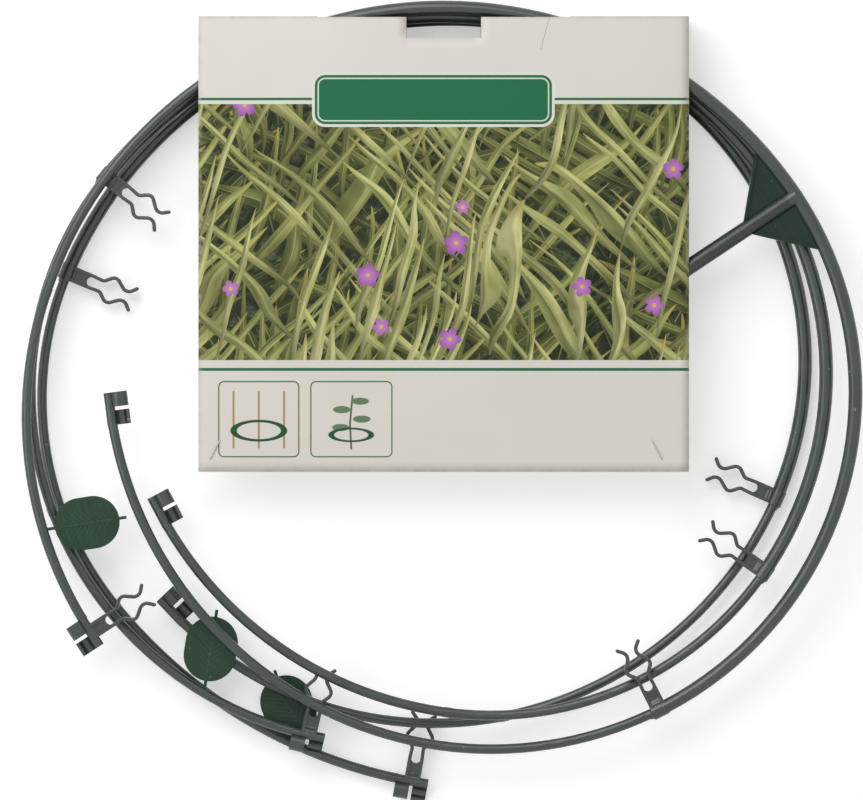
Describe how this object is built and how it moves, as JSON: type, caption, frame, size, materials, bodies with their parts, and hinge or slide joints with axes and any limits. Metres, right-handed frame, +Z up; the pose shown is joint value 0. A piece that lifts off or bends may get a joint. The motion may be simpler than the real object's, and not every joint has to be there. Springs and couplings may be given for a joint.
{
  "type": "plant support ring set",
  "caption": "Coiled green plant support rings with cane clips, spokes and end hooks, packed flat in a folded card sleeve with staples.",
  "frame": {"origin": "bottom centre of the box around the set, on the table", "axes": "+Z up from the table, +Y towards the fold of the card, +X to the right in the picture"},
  "size_m": [0.4, 0.3828, 0.0294],
  "materials": {
    "ring": "satin moulded",
    "disc": "satin moulded",
    "card": "uncoated board with a printed front",
    "staple": "bright wire"
  },
  "bodies": {
    "card": {"card_sleeve": "card", "staples": "staple"},
    "top_ring": {"top_ring_bow": "ring", "top_ring_outer_tail": "ring", "top_ring_inner_tail": "ring", "top_ring_outer_hooks": "ring", "top_ring_inner_hooks": "ring", "top_ring_gusset": "ring", "top_ring_spoke": "ring", "top_ring_tie_disc": "disc"},
    "top_ring_end_clip_left_finger": {"top_ring_end_clip_left_finger": "ring"},
    "top_ring_end_clip_right_finger": {"top_ring_end_clip_right_finger": "ring"},
    "top_ring_left_clip_left_finger": {"top_ring_left_clip_left_finger": "ring"},
    "top_ring_left_clip_right_finger": {"top_ring_left_clip_right_finger": "ring"},
    "top_ring_right_clip_left_finger": {"top_ring_right_clip_left_finger": "ring"},
    "top_ring_right_clip_right_finger": {"top_ring_right_clip_right_finger": "ring"},
    "top_ring_spoke_clip_left_finger": {"top_ring_spoke_clip_left_finger": "ring"},
    "top_ring_spoke_clip_right_finger": {"top_ring_spoke_clip_right_finger": "ring"},
    "middle_ring": {"middle_ring_bow": "ring", "middle_ring_outer_tail": "ring", "middle_ring_inner_tail": "ring", "middle_ring_outer_hooks": "ring", "middle_ring_inner_hooks": "ring", "middle_ring_gusset": "ring", "middle_ring_spoke": "ring", "middle_ring_tie_disc": "disc"},
    "middle_ring_end_clip_left_finger": {"middle_ring_end_clip_left_finger": "ring"},
    "middle_ring_end_clip_right_finger": {"middle_ring_end_clip_right_finger": "ring"},
    "middle_ring_left_clip_left_finger": {"middle_ring_left_clip_left_finger": "ring"},
    "middle_ring_left_clip_right_finger": {"middle_ring_left_clip_right_finger": "ring"},
    "middle_ring_right_clip_left_finger": {"middle_ring_right_clip_left_finger": "ring"},
    "middle_ring_right_clip_right_finger": {"middle_ring_right_clip_right_finger": "ring"},
    "middle_ring_spoke_clip_left_finger": {"middle_ring_spoke_clip_left_finger": "ring"},
    "middle_ring_spoke_clip_right_finger": {"middle_ring_spoke_clip_right_finger": "ring"},
    "bottom_ring": {"bottom_ring_bow": "ring", "bottom_ring_outer_tail": "ring", "bottom_ring_inner_tail": "ring", "bottom_ring_outer_hooks": "ring", "bottom_ring_inner_hooks": "ring", "bottom_ring_gusset": "ring", "bottom_ring_spoke": "ring", "bottom_ring_tie_disc": "disc"},
    "bottom_ring_end_clip_left_finger": {"bottom_ring_end_clip_left_finger": "ring"},
    "bottom_ring_end_clip_right_finger": {"bottom_ring_end_clip_right_finger": "ring"},
    "bottom_ring_left_clip_left_finger": {"bottom_ring_left_clip_left_finger": "ring"},
    "bottom_ring_left_clip_right_finger": {"bottom_ring_left_clip_right_finger": "ring"},
    "bottom_ring_right_clip_left_finger": {"bottom_ring_right_clip_left_finger": "ring"},
    "bottom_ring_right_clip_right_finger": {"bottom_ring_right_clip_right_finger": "ring"},
    "bottom_ring_spoke_clip_left_finger": {"bottom_ring_spoke_clip_left_finger": "ring"},
    "bottom_ring_spoke_clip_right_finger": {"bottom_ring_spoke_clip_right_finger": "ring"}
  },
  "joints": [
    {"name": "top_ring_turn", "type": "hinge", "parent": "card", "child": "top_ring", "pos_m": [0.00082, -0.01334, 0.02413], "axis": [0, 0, 1], "range_deg": [-3, 3]},
    {"name": "top_ring_end_clip_left_finger_bend", "type": "hinge", "parent": "top_ring", "child": "top_ring_end_clip_left_finger", "pos_m": [-0.15951, -0.10066, 0.02413], "axis": [0, 0, 1], "range_deg": [0, 12], "stiffness_Nm_per_rad": 0.05},
    {"name": "top_ring_end_clip_right_finger_bend", "type": "hinge", "parent": "top_ring", "child": "top_ring_end_clip_right_finger", "pos_m": [-0.15617, -0.10577, 0.02413], "axis": [0, 0, 1], "range_deg": [-12, 0], "stiffness_Nm_per_rad": 0.05},
    {"name": "top_ring_left_clip_left_finger_bend", "type": "hinge", "parent": "top_ring", "child": "top_ring_left_clip_left_finger", "pos_m": [-0.0688, 0.16245, 0.02413], "axis": [0, 0, 1], "range_deg": [0, 12], "stiffness_Nm_per_rad": 0.05},
    {"name": "top_ring_left_clip_right_finger_bend", "type": "hinge", "parent": "top_ring", "child": "top_ring_left_clip_right_finger", "pos_m": [-0.07443, 0.16011, 0.02413], "axis": [0, 0, 1], "range_deg": [-12, 0], "stiffness_Nm_per_rad": 0.05},
    {"name": "top_ring_right_clip_left_finger_bend", "type": "hinge", "parent": "top_ring", "child": "top_ring_right_clip_left_finger", "pos_m": [0.09517, -0.13627, 0.02413], "axis": [0, 0, 1], "range_deg": [0, 12], "stiffness_Nm_per_rad": 0.05},
    {"name": "top_ring_right_clip_right_finger_bend", "type": "hinge", "parent": "top_ring", "child": "top_ring_right_clip_right_finger", "pos_m": [0.10063, -0.13355, 0.02413], "axis": [0, 0, 1], "range_deg": [-12, 0], "stiffness_Nm_per_rad": 0.05},
    {"name": "top_ring_spoke_clip_left_finger_bend", "type": "hinge", "parent": "top_ring", "child": "top_ring_spoke_clip_left_finger", "pos_m": [0.10457, 0.05226, 0.02413], "axis": [0, 0, 1], "range_deg": [0, 12], "stiffness_Nm_per_rad": 0.05},
    {"name": "top_ring_spoke_clip_right_finger_bend", "type": "hinge", "parent": "top_ring", "child": "top_ring_spoke_clip_right_finger", "pos_m": [0.10118, 0.05733, 0.02413], "axis": [0, 0, 1], "range_deg": [-12, 0], "stiffness_Nm_per_rad": 0.05},
    {"name": "middle_ring_turn", "type": "hinge", "parent": "card", "child": "middle_ring", "pos_m": [-0.00018, -0.02056, 0.01571], "axis": [0, 0, 1], "range_deg": [-3, 3]},
    {"name": "middle_ring_end_clip_left_finger_bend", "type": "hinge", "parent": "middle_ring", "child": "middle_ring_end_clip_left_finger", "pos_m": [-0.06414, -0.14693, 0.01571], "axis": [0, 0, 1], "range_deg": [0, 12], "stiffness_Nm_per_rad": 0.05},
    {"name": "middle_ring_end_clip_right_finger_bend", "type": "hinge", "parent": "middle_ring", "child": "middle_ring_end_clip_right_finger", "pos_m": [-0.0582, -0.14828, 0.01571], "axis": [0, 0, 1], "range_deg": [-12, 0], "stiffness_Nm_per_rad": 0.05},
    {"name": "middle_ring_left_clip_left_finger_bend", "type": "hinge", "parent": "middle_ring", "child": "middle_ring_left_clip_left_finger", "pos_m": [-0.14851, 0.10248, 0.01571], "axis": [0, 0, 1], "range_deg": [0, 12], "stiffness_Nm_per_rad": 0.05},
    {"name": "middle_ring_left_clip_right_finger_bend", "type": "hinge", "parent": "middle_ring", "child": "middle_ring_left_clip_right_finger", "pos_m": [-0.15233, 0.09773, 0.01571], "axis": [0, 0, 1], "range_deg": [-12, 0], "stiffness_Nm_per_rad": 0.05},
    {"name": "middle_ring_right_clip_left_finger_bend", "type": "hinge", "parent": "middle_ring", "child": "middle_ring_right_clip_left_finger", "pos_m": [0.14203, -0.07599, 0.01571], "axis": [0, 0, 1], "range_deg": [0, 12], "stiffness_Nm_per_rad": 0.05},
    {"name": "middle_ring_right_clip_right_finger_bend", "type": "hinge", "parent": "middle_ring", "child": "middle_ring_right_clip_right_finger", "pos_m": [0.1455, -0.07097, 0.01571], "axis": [0, 0, 1], "range_deg": [-12, 0], "stiffness_Nm_per_rad": 0.05},
    {"name": "middle_ring_spoke_clip_left_finger_bend", "type": "hinge", "parent": "middle_ring", "child": "middle_ring_spoke_clip_left_finger", "pos_m": [0.05828, 0.09149, 0.01571], "axis": [0, 0, 1], "range_deg": [0, 12], "stiffness_Nm_per_rad": 0.05},
    {"name": "middle_ring_spoke_clip_right_finger_bend", "type": "hinge", "parent": "middle_ring", "child": "middle_ring_spoke_clip_right_finger", "pos_m": [0.0528, 0.09418, 0.01571], "axis": [0, 0, 1], "range_deg": [-12, 0], "stiffness_Nm_per_rad": 0.05},
    {"name": "bottom_ring_turn", "type": "hinge", "parent": "card", "child": "bottom_ring", "pos_m": [0.00322, -0.01418, 0.0049], "axis": [0, 0, 1], "range_deg": [-3, 3]},
    {"name": "bottom_ring_end_clip_left_finger_bend", "type": "hinge", "parent": "bottom_ring", "child": "bottom_ring_end_clip_left_finger", "pos_m": [-0.0154, -0.16975, 0.0049], "axis": [0, 0, 1], "range_deg": [0, 12], "stiffness_Nm_per_rad": 0.05},
    {"name": "bottom_ring_end_clip_right_finger_bend", "type": "hinge", "parent": "bottom_ring", "child": "bottom_ring_end_clip_right_finger", "pos_m": [-0.0094, -0.17083, 0.0049], "axis": [0, 0, 1], "range_deg": [-12, 0], "stiffness_Nm_per_rad": 0.05},
    {"name": "bottom_ring_left_clip_left_finger_bend", "type": "hinge", "parent": "bottom_ring", "child": "bottom_ring_left_clip_left_finger", "pos_m": [-0.16659, 0.06064, 0.0049], "axis": [0, 0, 1], "range_deg": [0, 12], "stiffness_Nm_per_rad": 0.05},
    {"name": "bottom_ring_left_clip_right_finger_bend", "type": "hinge", "parent": "bottom_ring", "child": "bottom_ring_left_clip_right_finger", "pos_m": [-0.16895, 0.05502, 0.0049], "axis": [0, 0, 1], "range_deg": [-12, 0], "stiffness_Nm_per_rad": 0.05},
    {"name": "bottom_ring_right_clip_left_finger_bend", "type": "hinge", "parent": "bottom_ring", "child": "bottom_ring_right_clip_left_finger", "pos_m": [0.14758, -0.04326, 0.0049], "axis": [0, 0, 1], "range_deg": [0, 12], "stiffness_Nm_per_rad": 0.05},
    {"name": "bottom_ring_right_clip_right_finger_bend", "type": "hinge", "parent": "bottom_ring", "child": "bottom_ring_right_clip_right_finger", "pos_m": [0.15004, -0.03768, 0.0049], "axis": [0, 0, 1], "range_deg": [-12, 0], "stiffness_Nm_per_rad": 0.05},
    {"name": "bottom_ring_spoke_clip_left_finger_bend", "type": "hinge", "parent": "bottom_ring", "child": "bottom_ring_spoke_clip_left_finger", "pos_m": [0.03309, 0.10124, 0.0049], "axis": [0, 0, 1], "range_deg": [0, 12], "stiffness_Nm_per_rad": 0.05},
    {"name": "bottom_ring_spoke_clip_right_finger_bend", "type": "hinge", "parent": "bottom_ring", "child": "bottom_ring_spoke_clip_right_finger", "pos_m": [0.02714, 0.10262, 0.0049], "axis": [0, 0, 1], "range_deg": [-12, 0], "stiffness_Nm_per_rad": 0.05}
  ],
  "couplings": [
    {"joint": "top_ring_end_clip_right_finger_bend", "follows": "top_ring_end_clip_left_finger_bend", "ratio": -1},
    {"joint": "top_ring_left_clip_right_finger_bend", "follows": "top_ring_left_clip_left_finger_bend", "ratio": -1},
    {"joint": "top_ring_right_clip_right_finger_bend", "follows": "top_ring_right_clip_left_finger_bend", "ratio": -1},
    {"joint": "top_ring_spoke_clip_right_finger_bend", "follows": "top_ring_spoke_clip_left_finger_bend", "ratio": -1},
    {"joint": "middle_ring_end_clip_right_finger_bend", "follows": "middle_ring_end_clip_left_finger_bend", "ratio": -1},
    {"joint": "middle_ring_left_clip_right_finger_bend", "follows": "middle_ring_left_clip_left_finger_bend", "ratio": -1},
    {"joint": "middle_ring_right_clip_right_finger_bend", "follows": "middle_ring_right_clip_left_finger_bend", "ratio": -1},
    {"joint": "middle_ring_spoke_clip_right_finger_bend", "follows": "middle_ring_spoke_clip_left_finger_bend", "ratio": -1},
    {"joint": "bottom_ring_end_clip_right_finger_bend", "follows": "bottom_ring_end_clip_left_finger_bend", "ratio": -1},
    {"joint": "bottom_ring_left_clip_right_finger_bend", "follows": "bottom_ring_left_clip_left_finger_bend", "ratio": -1},
    {"joint": "bottom_ring_right_clip_right_finger_bend", "follows": "bottom_ring_right_clip_left_finger_bend", "ratio": -1},
    {"joint": "bottom_ring_spoke_clip_right_finger_bend", "follows": "bottom_ring_spoke_clip_left_finger_bend", "ratio": -1}
  ]
}
